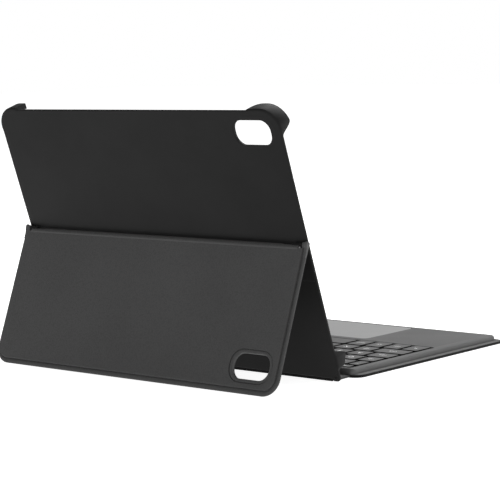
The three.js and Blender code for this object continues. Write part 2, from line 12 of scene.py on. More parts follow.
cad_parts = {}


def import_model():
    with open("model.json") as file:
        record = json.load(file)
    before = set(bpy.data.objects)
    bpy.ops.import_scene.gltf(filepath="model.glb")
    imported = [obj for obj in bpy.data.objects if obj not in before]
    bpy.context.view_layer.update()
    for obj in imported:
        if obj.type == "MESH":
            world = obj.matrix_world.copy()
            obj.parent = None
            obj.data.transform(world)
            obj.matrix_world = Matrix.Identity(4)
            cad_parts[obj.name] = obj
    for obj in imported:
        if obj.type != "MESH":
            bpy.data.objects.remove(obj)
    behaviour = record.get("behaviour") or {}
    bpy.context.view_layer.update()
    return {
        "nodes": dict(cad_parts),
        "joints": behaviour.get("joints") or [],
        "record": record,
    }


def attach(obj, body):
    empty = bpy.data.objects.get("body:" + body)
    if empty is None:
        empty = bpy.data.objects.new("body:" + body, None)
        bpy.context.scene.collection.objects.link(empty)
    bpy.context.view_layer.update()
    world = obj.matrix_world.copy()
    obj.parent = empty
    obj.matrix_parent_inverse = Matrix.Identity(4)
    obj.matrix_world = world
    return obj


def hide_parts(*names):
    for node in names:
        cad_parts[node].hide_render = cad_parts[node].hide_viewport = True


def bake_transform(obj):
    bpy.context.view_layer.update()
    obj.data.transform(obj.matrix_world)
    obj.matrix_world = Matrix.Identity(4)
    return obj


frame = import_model()
joints = {joint["name"]: joint for joint in frame["joints"]}
MM = 0.001

# ---- Places, from the frame ----

hinge_place = Vector(joints["kickstand_hinge"]["pos_m"])
shell_fold = Vector(joints["shell_fold"]["pos_m"])
base_fold = Vector(joints["base_fold"]["pos_m"])
mounts = {mount["name"]: mount for mount in frame["record"]["mounts"]}
shell_normal = Vector(mounts["tablet_rest"]["axis"])
SHELL_TILT = math.atan2(-shell_normal.y, shell_normal.z)  # turns the shell's own frame from flat
FOLD_OFFSET = 1.0  # the shell's fold line, up the shell and in from its back face
KICKSTAND_OPEN = math.radians(39.219)  # how far it stands from closed; the hinge's range rounds it

# Local frames in mm: x across, y up the panel, z towards the tablet.
shell_turn = Matrix.Rotation(SHELL_TILT, 4, "X")
shell_origin = shell_fold - shell_turn @ Vector((0, FOLD_OFFSET * MM, FOLD_OFFSET * MM))
SHELL_FRAME = Matrix.Translation(shell_origin) @ shell_turn @ Matrix.Scale(MM, 4)
kickstand_turn = Matrix.Rotation(SHELL_TILT + KICKSTAND_OPEN, 4, "X")
KICKSTAND_FRAME = Matrix.Translation(hinge_place) @ kickstand_turn @ Matrix.Scale(MM, 4)
# The keyboard's own frame in mm has its origin on the shell's lower back edge.
BASE_FRAME = Matrix.Translation((0, shell_origin.y, 0)) @ Matrix.Scale(MM, 4)

# ---- Sizes, close to those of the CAD model ----

SHELL_HALF_WIDTH = 126
SHELL_HEIGHT = 184
SHELL_RADIUS_LOW = 2.5
SHELL_RADIUS_HIGH = 14
SLOT_SIZE = (29.8, 16.4, 7.2)  # width, height and corner radius of both slots
CAMERA_SLOT = (-102.9, 169.4)  # the slot's middle in the shell's frame
KICKSTAND_SLOT = (-104.4, -79.5)  # and in the kickstand's
KICKSTAND_HALF_WIDTH = 128.2
KICKSTAND_LENGTH = 97
KICKSTAND_RADIUS = 12
KEY_UNIT = 17
KEY_GAP = 1.9
KEY_ROW_GAP = 2
ROW_UNITS = 14
KEY_FRONT = -110.7
KEY_DEPTHS = (17.6, 14.2, 14.2, 14.2, 14.2, 7.2)
KEY_TOP = 6.25
FIELD_HALF_WIDTH = (ROW_UNITS * KEY_UNIT - KEY_GAP) / 2
WELL_MARGIN = 1.6
WELL = (-FIELD_HALF_WIDTH - WELL_MARGIN, FIELD_HALF_WIDTH + WELL_MARGIN, -112.3, -18.5)
TRACKPAD = (-55.4, 55.4, -176.3, -118.6)
TRACKPAD_TOP = 5.95
DECK_TOP = 6.1
DECK_SKIN = 0.9

# ---- Materials ----


class Nodes:
    """A material's node tree, with short calls for the nodes that all of them use."""

    def __init__(self, name):
        self.material = bpy.data.materials.new(name)
        self.material.use_nodes = True
        self.tree = self.material.node_tree
        self.shader = self.tree.nodes["Principled BSDF"]
        self.place = self.tree.nodes.new("ShaderNodeTexCoord").outputs["Object"]

    def link(self, source, socket):
        self.tree.links.new(source, socket)

    def noise(self, scale, detail=3, roughness=0.5, place=None):
        node = self.tree.nodes.new("ShaderNodeTexNoise")
        node.inputs["Scale"].default_value = scale
        node.inputs["Detail"].default_value = detail
        node.inputs["Roughness"].default_value = roughness
        self.link(place or self.place, node.inputs["Vector"])
        return node.outputs["Fac"]

    def cells(self, scale, feature="SMOOTH_F1", place=None):
        node = self.tree.nodes.new("ShaderNodeTexVoronoi")
        node.feature = feature
        node.inputs["Scale"].default_value = scale
        if feature == "SMOOTH_F1":
            node.inputs["Smoothness"].default_value = 0.35
        self.link(place or self.place, node.inputs["Vector"])
        return node.outputs["Distance"]

    def warped(self, scale, reach):
        """The place shifted by noise, by up to reach in mm."""
        noise = self.tree.nodes.new("ShaderNodeTexNoise")
        noise.inputs["Scale"].default_value = scale
        self.link(self.place, noise.inputs["Vector"])
        node = self.tree.nodes.new("ShaderNodeVectorMath")
        node.operation = "MULTIPLY_ADD"
        self.link(noise.outputs["Color"], node.inputs[0])
        node.inputs[1].default_value = (reach * MM,) * 3
        self.link(self.place, node.inputs[2])
        return node.outputs[0]

    def stretched(self, x, y, z):
        node = self.tree.nodes.new("ShaderNodeMapping")
        node.inputs["Scale"].default_value = (x, y, z)
        self.link(self.place, node.inputs["Vector"])
        return node.outputs["Vector"]

    def combined(self, operation, first, second):
        """A Math node. Each of the two inputs is a number or another node's output."""
        node = self.tree.nodes.new("ShaderNodeMath")
        node.operation = operation
        for source, socket in zip((first, second), node.inputs):
            if isinstance(source, (int, float)):
                socket.default_value = source
            else:
                self.link(source, socket)
        return node.outputs[0]

    def spread(self, source, low, high, from_low=0.3, from_high=0.7):
        """Maps the source to low..high. A noise mostly lies in the range it is taken to have."""
        node = self.tree.nodes.new("ShaderNodeMapRange")
        node.inputs["From Min"].default_value = from_low
        node.inputs["From Max"].default_value = from_high
        node.inputs["To Min"].default_value = low
        node.inputs["To Max"].default_value = high
        self.link(source, node.inputs["Value"])
        return node.outputs["Result"]

    def colour(self, factor, low, high):
        node = self.tree.nodes.new("ShaderNodeMix")
        node.data_type = "RGBA"
        self.link(factor, node.inputs["Factor"])
        node.inputs["A"].default_value = (*low, 1)
        node.inputs["B"].default_value = (*high, 1)
        return node.outputs["Result"]

    def tinted(self, factor, under, over):
        """Mixes a plain colour over a colour that is already worked out."""
        node = self.tree.nodes.new("ShaderNodeMix")
        node.data_type = "RGBA"
        self.link(factor, node.inputs["Factor"])
        self.link(under, node.inputs["A"])
        node.inputs["B"].default_value = (*over, 1)
        return node.outputs["Result"]

    def edges(self, most=0.5):
        """Where the surface is sharply convex, from 0 to most. A flat place has a pointiness of 0.5."""
        point = self.tree.nodes.new("ShaderNodeNewGeometry").outputs["Pointiness"]
        return self.spread(point, 0, most, 0.53, 0.6)

    def bump(self, *layers):
        """Each layer is (height, strength, depth in mm), laid one over the other."""
        normal = None
        for height, strength, depth in layers:
            node = self.tree.nodes.new("ShaderNodeBump")
            node.inputs["Strength"].default_value = strength
            node.inputs["Distance"].default_value = depth * MM
            self.link(height, node.inputs["Height"])
            if normal:
                self.link(normal, node.inputs["Normal"])
            normal = node.outputs["Normal"]
        self.link(normal, self.shader.inputs["Normal"])

    def set(self, **values):
        for name, value in values.items():
            self.shader.inputs[name.replace("_", " ")].default_value = value

    def done(self, colour, roughness):
        self.link(colour, self.shader.inputs["Base Color"])
        self.link(roughness, self.shader.inputs["Roughness"])
        return self.material


def grey(value, warmth=0.0):
    return (value * (1 + warmth), value, value * (1 - warmth))


def moulded(name, value, roughness, grain=0.35, specular=0.35, edge_lightening=1.5):
    """Moulded plastic with a fine spark-eroded texture, faint handling marks and lighter edges."""
    nodes = Nodes(name)
    cloud = nodes.noise(22, 4)
    fine = nodes.noise(2600, 2, 0.6)
    colour = nodes.colour(nodes.spread(cloud, 0, 1), grey(value * 0.9), grey(value * 1.1))
    colour = nodes.tinted(nodes.spread(fine, 0, 0.25), colour, grey(value * 1.5))
    # Sharp convex edges are drawn lighter in colour.
    colour = nodes.tinted(nodes.edges(), colour, grey(value * edge_lightening))
    smudge = nodes.noise(9, 5, 0.65)
    uneven = nodes.combined("ADD", smudge, nodes.combined("MULTIPLY", fine, 0.15))
    rough = nodes.spread(uneven, roughness - 0.07, roughness + 0.07)
    nodes.bump((fine, grain, 0.03), (nodes.noise(160, 2), 0.12, 0.04))
    nodes.set(Specular_IOR_Level=specular)
    return nodes.done(colour, rough)


def leather(name, value, roughness, specular, edge_lightening=1.7):
    """Coated leather: small pebbles with creases between them, painted darker as shade in the creases, a
    slight sheen, and lighter edges.
    """
    nodes = Nodes(name)
    grain = nodes.cells(1150, place=nodes.warped(420, 0.9))
    pores = nodes.noise(3800, 2, 0.6)
    cloud = nodes.noise(16, 5, 0.6)
    colour = nodes.colour(nodes.spread(cloud, 0, 1), grey(value * 0.9), grey(value * 1.1))
    # Painted shade: the creases between the pebbles are darker.
    colour = nodes.tinted(nodes.spread(grain, 0, 0.35, 0.25, 0.75), colour, grey(value * 0.62))
    # Sharp convex edges are drawn lighter in colour.
    colour = nodes.tinted(nodes.edges(), colour, grey(value * edge_lightening))
    rough = nodes.spread(grain, roughness - 0.08, roughness + 0.1, 0.1, 0.8)
    crown = nodes.combined("SUBTRACT", 1, grain)
    nodes.bump((nodes.noise(60, 3), 0.25, 0.12), (crown, 0.5, 0.09), (pores, 0.22, 0.02))
    nodes.set(Specular_IOR_Level=specular, Sheen_Weight=0.04, Sheen_Roughness=0.5)
    return nodes.done(colour, rough)


def fabric(name, value):
    """Brushed microfibre: a short nap in two crossing directions."""
    nodes = Nodes(name)
    nap = nodes.noise(1, 3, 0.6, nodes.stretched(5200, 1300, 1300))
    across = nodes.noise(1, 3, 0.6, nodes.stretched(1300, 5200, 5200))
    both = nodes.combined("MULTIPLY", nap, across)
    cloud = nodes.noise(30, 4)
    colour = nodes.colour(nodes.spread(cloud, 0, 1), grey(value * 0.94), grey(value * 1.06))
    colour = nodes.tinted(nodes.spread(both, 0, 0.5, 0.15, 0.4), colour, grey(value * 1.8))
    nodes.bump((both, 0.6, 0.12))
    nodes.set(Specular_IOR_Level=0.15, Sheen_Weight=0.5, Sheen_Roughness=0.4)
    return nodes.done(colour, nodes.spread(nap, 0.85, 1.0))


def metal(name, value, roughness, brush=900, warmth=0.0):
    """Stamped metal with brushing along x."""
    nodes = Nodes(name)
    brushed = nodes.noise(1, 4, 0.6, nodes.stretched(40, brush * 4, brush * 4))
    colour = nodes.colour(nodes.spread(brushed, 0, 1), grey(value * 0.85, warmth), grey(value * 1.1, warmth))
    nodes.bump((brushed, 0.3, 0.02))
    nodes.set(Metallic=1.0)
    return nodes.done(colour, nodes.spread(brushed, roughness - 0.08, roughness + 0.1))


def circuit(name):
    """Green solder mask over copper tracks."""
    nodes = Nodes(name)
    tracks = nodes.cells(420, "DISTANCE_TO_EDGE", nodes.stretched(1, 1, 0.01))
    raised_tracks = nodes.spread(tracks, 1, 0, 0.02, 0.1)
    colour = nodes.colour(raised_tracks, (0.008, 0.07, 0.03), (0.02, 0.16, 0.06))
    nodes.bump((raised_tracks, 0.5, 0.03))
    return nodes.done(colour, nodes.spread(nodes.noise(700), 0.25, 0.45))


def foil(name):
    """Crinkled foil of a battery pouch."""
    nodes = Nodes(name)
    crinkle = nodes.noise(180, 6, 0.65)
    colour = nodes.colour(nodes.spread(crinkle, 0, 1), grey(0.34), grey(0.5))
    nodes.bump((crinkle, 0.6, 0.2))
    nodes.set(Metallic=0.85)
    return nodes.done(colour, nodes.spread(crinkle, 0.25, 0.45))


def fibre_board(name):
    """Pressed fibre board, dyed black."""
    nodes = Nodes(name)
    flecks = nodes.noise(900, 5, 0.7)
    colour = nodes.colour(nodes.spread(flecks, 0, 1), grey(0.006), (0.016, 0.015, 0.014))
    nodes.bump((flecks, 0.6, 0.08))
    return nodes.done(colour, nodes.spread(flecks, 0.8, 0.95))


def laminate(name, value):
    """The trackpad's satin film: smooth and unevenly polished, with a faint even grain."""
    nodes = Nodes(name)
    fine = nodes.noise(3200, 2, 0.5)
    cloud = nodes.noise(12, 4, 0.6)
    colour = nodes.colour(nodes.spread(cloud, 0, 1), grey(value * 0.96), grey(value * 1.04))
    colour = nodes.tinted(nodes.edges(most=0.6), colour, grey(value * 1.25))
    nodes.bump((fine, 0.12, 0.01))
    nodes.set(Specular_IOR_Level=0.4)
    return nodes.done(colour, nodes.spread(cloud, 0.3, 0.42))


def ink(name):
    """Printed legends, slightly uneven."""
    nodes = Nodes(name)
    speck = nodes.noise(5200, 3, 0.6)
    colour = nodes.colour(nodes.spread(speck, 0, 1), grey(0.8), grey(0.95))
    nodes.bump((speck, 0.2, 0.01))
    return nodes.done(colour, nodes.spread(speck, 0.45, 0.6))


def lens(name):
    """Frosted light pipe."""
    nodes = Nodes(name)
    frost = nodes.noise(2400, 3)
    colour = nodes.colour(nodes.spread(frost, 0, 1), grey(0.7), grey(0.85))
    nodes.bump((frost, 0.2, 0.02))
    nodes.set(Transmission_Weight=0.3, Subsurface_Weight=0.1)
    return nodes.done(colour, nodes.spread(frost, 0.25, 0.4))


SHELL_PLASTIC = moulded("shell plastic", 0.006, 0.5, specular=0.12, edge_lightening=3)
PANEL_LEATHER = leather("kickstand leather", 0.046, 0.58, specular=0.25, edge_lightening=1.25)
# A lighter copy of the kickstand leather for the hem and the ears: painted light on the hinge's up-facing
# edge.
KICKSTAND_LEATHER_PAINTED_LIT = leather("kickstand leather painted lit", 0.052, 0.54, specular=0.27, edge_lightening=1.3)
INNER_LEATHER = leather("inner leather", 0.012, 0.62, specular=0.2)
BASE_LEATHER = leather("base leather", 0.07, 0.58, specular=0.25)
# Black underside leather, kept very dark and dull, so that its side band under the flange is also painted
# shade.
UNDER_LEATHER_AND_SHADE = leather("underside leather and painted shade", 0.004, 0.65, specular=0.08)
SPINE_LEATHER = leather("spine leather", 0.03, 0.62, specular=0.15)
DECK_PLASTIC = moulded("deck plastic", 0.084, 0.55, grain=0.25, specular=0.2, edge_lightening=1.5)
KEY_PLASTIC = moulded("key plastic", 0.09, 0.55, grain=0.25, specular=0.2, edge_lightening=1.7)
# A near-black copy of the key plastic for the caps' sides: painted shade in the gaps between the keys.
KEY_SIDES_PAINTED_SHADE = moulded("key sides painted shade", 0.004, 0.6, grain=0.25, specular=0.08, edge_lightening=1)
TRAY_PLASTIC = moulded("tray plastic", 0.035, 0.6)
TRACKPAD_FILM = laminate("trackpad film", 0.26)
LINING_FABRIC = fabric("lining microfibre", 0.03)
STEEL = metal("stamped steel", 0.5, 0.35)
NICKEL = metal("nickel plating", 0.6, 0.22, 300, 0.03)
CIRCUIT = circuit("circuit board")
MEMBRANE = moulded("switch membrane", 0.006, 0.55, specular=0.2)
FOIL = foil("battery foil")
BOARD = fibre_board("fibre board")
INK = ink("legend ink")
LENS = lens("frosted lens")

# ---- Mesh helpers ----

SHARP_ANGLE = 32  # degrees between two faces, above which their edge stays sharp
LEAST_RADIUS = 0.15
SLOT_STEPS = 12


class Skin:
    """A mesh made of rings of points that are joined by quads, and of flat faces that may have holes."""

    def __init__(self):
        self.mesh = bmesh.new()

    def ring(self, points):
        return [self.mesh.verts.new(point) for point in points]

    def band(self, rings, material=0):
        for first, second in zip(rings, rings[1:]):
            for index in range(len(first)):
                after = (index + 1) % len(first)
                corners = (first[index], first[after], second[after], second[index])
                self.mesh.faces.new(corners).material_index = material

    def fill(self, *loops, material=0):
        edges = []
        for loop in loops:
            for index, vertex in enumerate(loop):
                pair = (vertex, loop[(index + 1) % len(loop)])
                edges.append(self.mesh.edges.get(pair) or self.mesh.edges.new(pair))
        made = bmesh.ops.triangle_fill(self.mesh, use_beauty=True, use_dissolve=False, edges=edges)
        for face in made["geom"]:
            if isinstance(face, bmesh.types.BMFace):
                face.material_index = material

    def closed(self, rings, *holes):
        """A solid from rings, with both ends filled. Each hole is a list of rings that runs the same way."""
        for loops in (rings, *holes):
            self.band(loops)
        self.fill(rings[0], *[hole[0] for hole in holes])
        self.fill(rings[-1], *[hole[-1] for hole in holes])

    def piece(self, name, place, materials, sharp=SHARP_ANGLE):
        bmesh.ops.recalc_face_normals(self.mesh, faces=self.mesh.faces)
        self.mesh.transform(place)
        data = bpy.data.meshes.new(name)
        self.mesh.to_mesh(data)
        self.mesh.free()
        for polygon in data.polygons:
            polygon.use_smooth = True
        data.set_sharp_from_angle(angle=math.radians(sharp))
        for material in materials:
            data.materials.append(material)
        made = bpy.data.objects.new(name, data)
        bpy.context.scene.collection.objects.link(made)
        return made


def rectangle(box, radii, level, steps):
    """Points round a rectangle (left, right, low, high) from its lower left corner.

    The radii are those of the low left, low right, high right and high left corners.
    """
    left, right, low, high = box
    corners = ((left, low, 180), (right, low, 270), (right, high, 0), (left, high, 90))
    points = []
    for (x, y, start), radius in zip(corners, radii):
        centre_x = x + radius if x == left else x - radius
        centre_y = y + radius if y == low else y - radius
        for step in range(steps + 1):
            angle = math.radians(start + 90 * step / steps)
            points.append((centre_x + radius * math.cos(angle), centre_y + radius * math.sin(angle), level))
    return points


def shrunk(radii, depth):
    """The radii of an outline drawn in by depth. They stay large enough to keep a corner's points apart."""
    return [max(radius - depth, LEAST_RADIUS) for radius in radii]


def inset(box, radius, depth, level, steps, high_depth=None):
    """A rounded rectangle drawn in by depth, which may have its own depth on the high side."""
    left, right, low, high = box
    high_depth = depth if high_depth is None else high_depth
    radii = radius if isinstance(radius, tuple) else (radius,) * 4
    drawn_in = (left + depth, right - depth, low + depth, high - high_depth)
    return rectangle(drawn_in, shrunk(radii, depth), level, steps)


def raised(outline, rise, steps):
    """Lifts the outline's high side by rise, step by step round its two high corners."""
    points = []
    for index, (x, y, level) in enumerate(outline):
        corner, step = divmod(index, steps + 1)
        share = (0, 0, step / steps, 1 - step / steps)[corner]
        points.append((x, y, level + rise * share))
    return points


def slot_rings(skin, centre, section):
    """Rings round a slot from a section of (out from the slot, level)."""
    width, height, radius = SLOT_SIZE
    x, y = centre
    box = (x - width / 2, x + width / 2, y - height / 2, y + height / 2)
    return [skin.ring(inset(box, radius, -out, level, SLOT_STEPS)) for out, level in section]


def settle(piece, body, slot, *nodes):
    """Rides the piece on its body and hides the CAD nodes it stands for. The slot is not used."""
    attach(piece, body)
    if nodes:
        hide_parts(*nodes)


def ease(value):
    value = min(max(value, 0), 1)
    return value * value * (3 - 2 * value)


# ---- Back shell ----

# Sections across the shell's edge, as (outwards, towards the tablet): the plain edge, and a full grip with
# its lip.
PLAIN_EDGE = (
    (-3.6, 0), (-1.2, 0), (-0.6, 0), (-0.3, 0.08), (-0.08, 0.3), (0, 0.6), (0, 1.0), (0, 1.4), (-0.08, 1.7),
    (-0.3, 1.92), (-0.6, 2), (-0.8, 2), (-1.0, 2), (-1.2, 2), (-1.35, 2), (-1.4, 2), (-1.8, 2), (-3.6, 2),
)
GRIP_EDGE = (
    (-3.6, 0), (-1.2, 0), (-0.3, 0), (0.5, 0.2), (1.1, 0.75), (1.3, 1.5), (1.3, 6), (1.3, 9.7), (1.15, 10.15),
    (0.75, 10.4), (-2.3, 10.4), (-2.8, 10.25), (-2.9, 9.8), (-2.6, 9.6), (-1.4, 9.55), (-1.4, 2.4),
    (-1.8, 2.02), (-3.6, 2),
)
# Round the camera slot, as (out from the slot, towards the tablet).
CAMERA_SLOT_EDGE = ((1.2, 0), (0.5, 0), (0.15, 0.12), (0, 0.45), (0, 1.6), (0.15, 1.9), (0.5, 2), (1.2, 2))

# The upper grips go round the corners. On the top edge the left one starts with a quarter round.
UPPER_GRIP_BOTTOM = 167
UPPER_GRIP_RISE = 7.5
RIGHT_GRIP_START = 107
LEFT_GRIP_START = -101
LEFT_GRIP_ROUND = 8
# The lower grips are tabs on the short edges, which stand out a little more towards the top.
LOWER_GRIP_BOTTOM = 8.2
LOWER_GRIP_TOP = 21.2
LOWER_GRIP_RISE = 2
LOWER_GRIP_FALL = 4.2
LOWER_GRIP_SHARE = 0.62
LOWER_GRIP_SLANT = 0.045
SHORT_EDGE = 125.9  # a station as far out as this is on a short edge
LOWER_EDGE = 1  # and one below this height is on the lower edge

NOTCH_DEPTH = 1.9  # the spine's seat in the lower edge
NOTCH_HALF_WIDTH = 120.2
NOTCH_END = 0.5  # its depth runs out over this distance
# Stations lie close together from these places to the corners, where the notch ends and the grips start.
NOTCH_DETAIL = 113
LOWER_GRIP_DETAIL = 22
UPPER_GRIP_DETAIL = (95, 158)

PAD_BOX = (-125.2, 125.2, 70.5, 93.2)
PAD_CORNER = 1.2
PAD_STEPS = 5
# Round the raised strip, as (in from the edge, towards the tablet): it stands out backwards.
PAD_EDGE = ((0.4, 0.3), (0, 0.2), (0, -0.12), (0.06, -0.22), (0.2, -0.27), (0.8, -0.27))


def shell_stations():
    """Points round the plate's outline with their outward directions."""
    half, top = SHELL_HALF_WIDTH, SHELL_HEIGHT
    low, high = SHELL_RADIUS_LOW, SHELL_RADIUS_HIGH
    along_top, up_side = UPPER_GRIP_DETAIL
    stations = []

    def straight(start, end, normal, gaps):
        for index in range(gaps):
            share = index / gaps
            point = [a + (b - a) * share for a, b in zip(start, end)]
            stations.append((*point, *normal))

    def corner(x, y, radius, start, steps):
        for step in range(steps):
            angle = math.radians(start + 90 * step / steps)
            normal = (math.cos(angle), math.sin(angle))
            stations.append((x + radius * normal[0], y + radius * normal[1], *normal))

    # Anticlockwise from the low left corner. Each stretch is (start, end, number of gaps).
    corner(-half + low, low, low, 180, 8)
    notch = NOTCH_DETAIL
    for start, end, gaps in ((-half + low, -notch, 24), (-notch, notch, 12), (notch, half - low, 24)):
        straight((start, 0), (end, 0), (0, -1), gaps)
    corner(half - low, low, low, 270, 8)
    upwards = ((low, LOWER_GRIP_DETAIL, 40), (LOWER_GRIP_DETAIL, up_side, 8), (up_side, top - high, 24))
    for start, end, gaps in upwards:
        straight((half, start), (half, end), (1, 0), gaps)
    corner(half - high, top - high, high, 0, 20)
    leftwards = ((half - high, along_top, 30), (along_top, -along_top, 12), (-along_top, -half + high, 30))
    for start, end, gaps in leftwards:
        straight((start, top), (end, top), (0, 1), gaps)
    corner(-half + high, top - high, high, 90, 20)
    for end, start, gaps in reversed(upwards):
        straight((-half, start), (-half, end), (-1, 0), gaps)
    return stations


def quarter_round(value):
    """Rises from 0 to 1 like a quarter circle while the value does."""
    return math.sqrt(max(1 - min(max(value, 0) - 1, 0) ** 2, 0))


def upper_grip_share(x, y):
    if x > 0:
        along_top = 1 if x > RIGHT_GRIP_START else 0
    else:
        along_top = quarter_round((LEFT_GRIP_START - x) / LEFT_GRIP_ROUND)
    return min(along_top, ease((y - UPPER_GRIP_BOTTOM) / UPPER_GRIP_RISE))


def lower_grip_share(x, y):
    if y > LOWER_GRIP_TOP or abs(x) < SHORT_EDGE:
        return 0
    above = y - LOWER_GRIP_BOTTOM
    slant = LOWER_GRIP_SHARE + above * LOWER_GRIP_SLANT
    return min(max(above / LOWER_GRIP_RISE, 0), slant, (LOWER_GRIP_TOP - y) / LOWER_GRIP_FALL, 1)


def grip_share(x, y):
    """1 on a grip, 0 on the plain edge, and the shape of the grip's end between them."""
    return upper_grip_share(x, y) if y > SHELL_HEIGHT / 2 else lower_grip_share(x, y)


def notch_share(x, y):
    return ease((NOTCH_HALF_WIDTH + NOTCH_END - abs(x)) / NOTCH_END) if y < LOWER_EDGE else 0


def back_shell():
    skin = Skin()
    stations = shell_stations()
    rings = []
    for plain, grip in zip(PLAIN_EDGE, GRIP_EDGE):
        points = []
        for x, y, out_x, out_y in stations:
            share = grip_share(x, y)
            reach = plain[0] + (grip[0] - plain[0]) * share - NOTCH_DEPTH * notch_share(x, y)
            level = plain[1] + (grip[1] - plain[1]) * share
            points.append((x + out_x * reach, y + out_y * reach, level))
        rings.append(skin.ring(points))
    skin.closed(rings, slot_rings(skin, CAMERA_SLOT, CAMERA_SLOT_EDGE))
    return skin.piece("back_shell_moulding", SHELL_FRAME, [SHELL_PLASTIC])


def hinge_pad():
    """The thin raised strip on the back, below the hinge line, that the kickstand folds onto."""
    skin = Skin()
    skin.closed([skin.ring(inset(PAD_BOX, PAD_CORNER, depth, level, PAD_STEPS)) for depth, level in PAD_EDGE])
    return skin.piece("shell_hinge_pad", SHELL_FRAME, [SHELL_PLASTIC])


settle(back_shell(), "back_shell_body", "shell_plastic", "back_shell")
settle(hinge_pad(), "back_shell_body", "shell_plastic")

# ---- Kickstand ----

PANEL_BACK = 0.95  # the outer skin's inner face, just short of the inner skin
# Sections across the outer skin, as (in from the edge, towards the shell): its sides, and its top edge.
PANEL_SIDE = (
    (5.2, PANEL_BACK), (0.6, PANEL_BACK), (0.2, 0.88), (0.02, 0.62), (0, 0.4), (0.1, 0.12), (0.4, -0.1),
    (1.0, -0.26), (1.8, -0.33), (2.5, -0.28), (3.0, -0.12), (3.2, 0.06), (3.35, 0.12), (3.5, 0.0),
    (3.58, -0.4), (3.66, -0.9), (3.74, -1.32), (3.9, -1.5), (4.3, -1.58), (5.4, -1.6),
)
PANEL_TOP = (
    (5.2, PANEL_BACK), (0.6, PANEL_BACK), (0.2, 0.93), (0.1, 0.8), (0.05, 0.6), (0, 0.4), (0, 0.2), (0, 0),
    (0, -0.2), (0, -0.4), (0, -0.6), (0, -0.8), (0, -0.95), (0, -1.1), (0.05, -1.25), (0.1, -1.38),
    (0.2, -1.48), (0.8, -1.57), (1.6, -1.6),
)
PANEL_TOP_EDGE = -2.3
PANEL_TOP_RADIUS = 0.8
PANEL_BOX = (-KICKSTAND_HALF_WIDTH, KICKSTAND_HALF_WIDTH, -KICKSTAND_LENGTH, PANEL_TOP_EDGE)
PANEL_RADII = (KICKSTAND_RADIUS, KICKSTAND_RADIUS, PANEL_TOP_RADIUS, PANEL_TOP_RADIUS)
CORNER_STEPS = 14
FLANGE_NARROWING = 0.74  # the flange is narrower up the sides than along the free end
# The pressed ring round the kickstand's slot, as (out from the slot, towards the shell).
SLOT_RING = (
    (2.5, PANEL_BACK), (0.4, PANEL_BACK), (0.1, PANEL_BACK - 0.05), (0, 0.7), (0, -0.75), (0.15, -1.05),
    (0.5, -1.25), (1.2, -1.32), (2.0, -1.25), (2.2, -1.1), (2.3, -0.6), (2.48, -0.6), (2.56, -1.1),
    (2.64, -1.46), (2.8, -1.58), (3.1, -1.6),
)
# The inner skin's edge and the edge of its slot, in the same terms.
INNER_EDGE = (
    (4, 1.0), (0.5, 1.0), (0.25, 1.1), (0.25, 1.35), (0.5, 1.57), (0.9, 1.6), (3.2, 1.6), (3.6, 1.5),
    (4, 1.6),
)
INNER_SLOT = (
    (2.5, 1.0), (0.4, 1.0), (0.1, 1.1), (0.1, 1.45), (0.4, 1.6), (2.2, 1.6), (2.5, 1.52), (2.8, 1.6),
)

HEM_HALF_LENGTH = 121.6
HEM_ENDS = ((0, 0.9), (0.15, 0.97), (0.5, 1.0))  # as (in from the end, share of the thickness)
# Round the folded top of the cover, as (up the panel, towards the shell): a bevel that faces up and out.
HEM_SECTION = (
    (-3.4, -1.58), (-2.75, -1.7), (-2.4, -1.78), (-2.1, -1.72), (-0.6, -0.88), (-0.38, -0.6),
    (-0.28, -0.2), (-0.28, 0.8), (-0.5, 1.3), (-1.0, 1.62), (-3.4, 1.62),
)

EAR_NEAR = 124
EAR_FAR = 128.2
# Along the ear, as (x, size): a narrow neck, and then the full end.
EAR_STATIONS = (
    (EAR_NEAR, 0.68), (EAR_NEAR + 0.3, 0.8), (126.0, 0.82), (126.3, 1), (EAR_FAR - 0.3, 1), (EAR_FAR, 0.85),
)
EAR_ROOT = -8  # where the ear runs out on the panel
# Round the ear, as (up the panel, towards the shell): it rises into two rolled lips with a notch between.
EAR_SECTION = (
    (EAR_ROOT, -0.3), (-5, -0.4), (-3, -0.72), (-1.4, -1.2), (0, -1.5), (1.1, -1.5), (1.8, -1.25),
    (2.15, -0.85), (2.1, -0.4), (1.55, -0.1), (1.45, 0.15), (1.95, 0.45), (2.05, 0.9), (1.7, 1.35),
    (0.8, 1.65), (-0.5, 1.6), (-2.5, 1.3), (-5, 1.0), (EAR_ROOT, 0.94),
)

SLEEVE_NEAR = 116.1
SLEEVE_RADIUS = 1.28
SLEEVE_STEPS = 20
# Along the sleeve, as (x, share of the radius).
SLEEVE_STATIONS = ((SLEEVE_NEAR, 0.8), (SLEEVE_NEAR + 0.2, 1), (EAR_NEAR + 0.1, 1), (EAR_NEAR + 0.4, 0.8))


def panel_ring(side, top):
    """One ring of the panel: the side section on three sides, and the top section along the hinge."""
    left, right, front, back = PANEL_BOX
    across, depth = side[0] * FLANGE_NARROWING, side[0]
    box = (left + across, right - across, front + depth, back - top[0])
    outline = rectangle(box, shrunk(PANEL_RADII, depth), side[1], CORNER_STEPS)
    return raised(outline, top[1] - side[1], CORNER_STEPS)


def kickstand_panel():
    skin = Skin()
    rings = [skin.ring(panel_ring(side, top)) for side, top in zip(PANEL_SIDE, PANEL_TOP)]
    skin.closed(rings, slot_rings(skin, KICKSTAND_SLOT, SLOT_RING))
    return skin.piece("kickstand_outer_cover", KICKSTAND_FRAME, [PANEL_LEATHER])


def kickstand_lining():
    skin = Skin()
    rings = []
    for depth, level in INNER_EDGE:
        rings.append(skin.ring(inset(PANEL_BOX, PANEL_RADII, depth, level, CORNER_STEPS)))
    skin.closed(rings, slot_rings(skin, KICKSTAND_SLOT, INNER_SLOT))
    return skin.piece("kickstand_inner_cover", KICKSTAND_FRAME, [INNER_LEATHER])


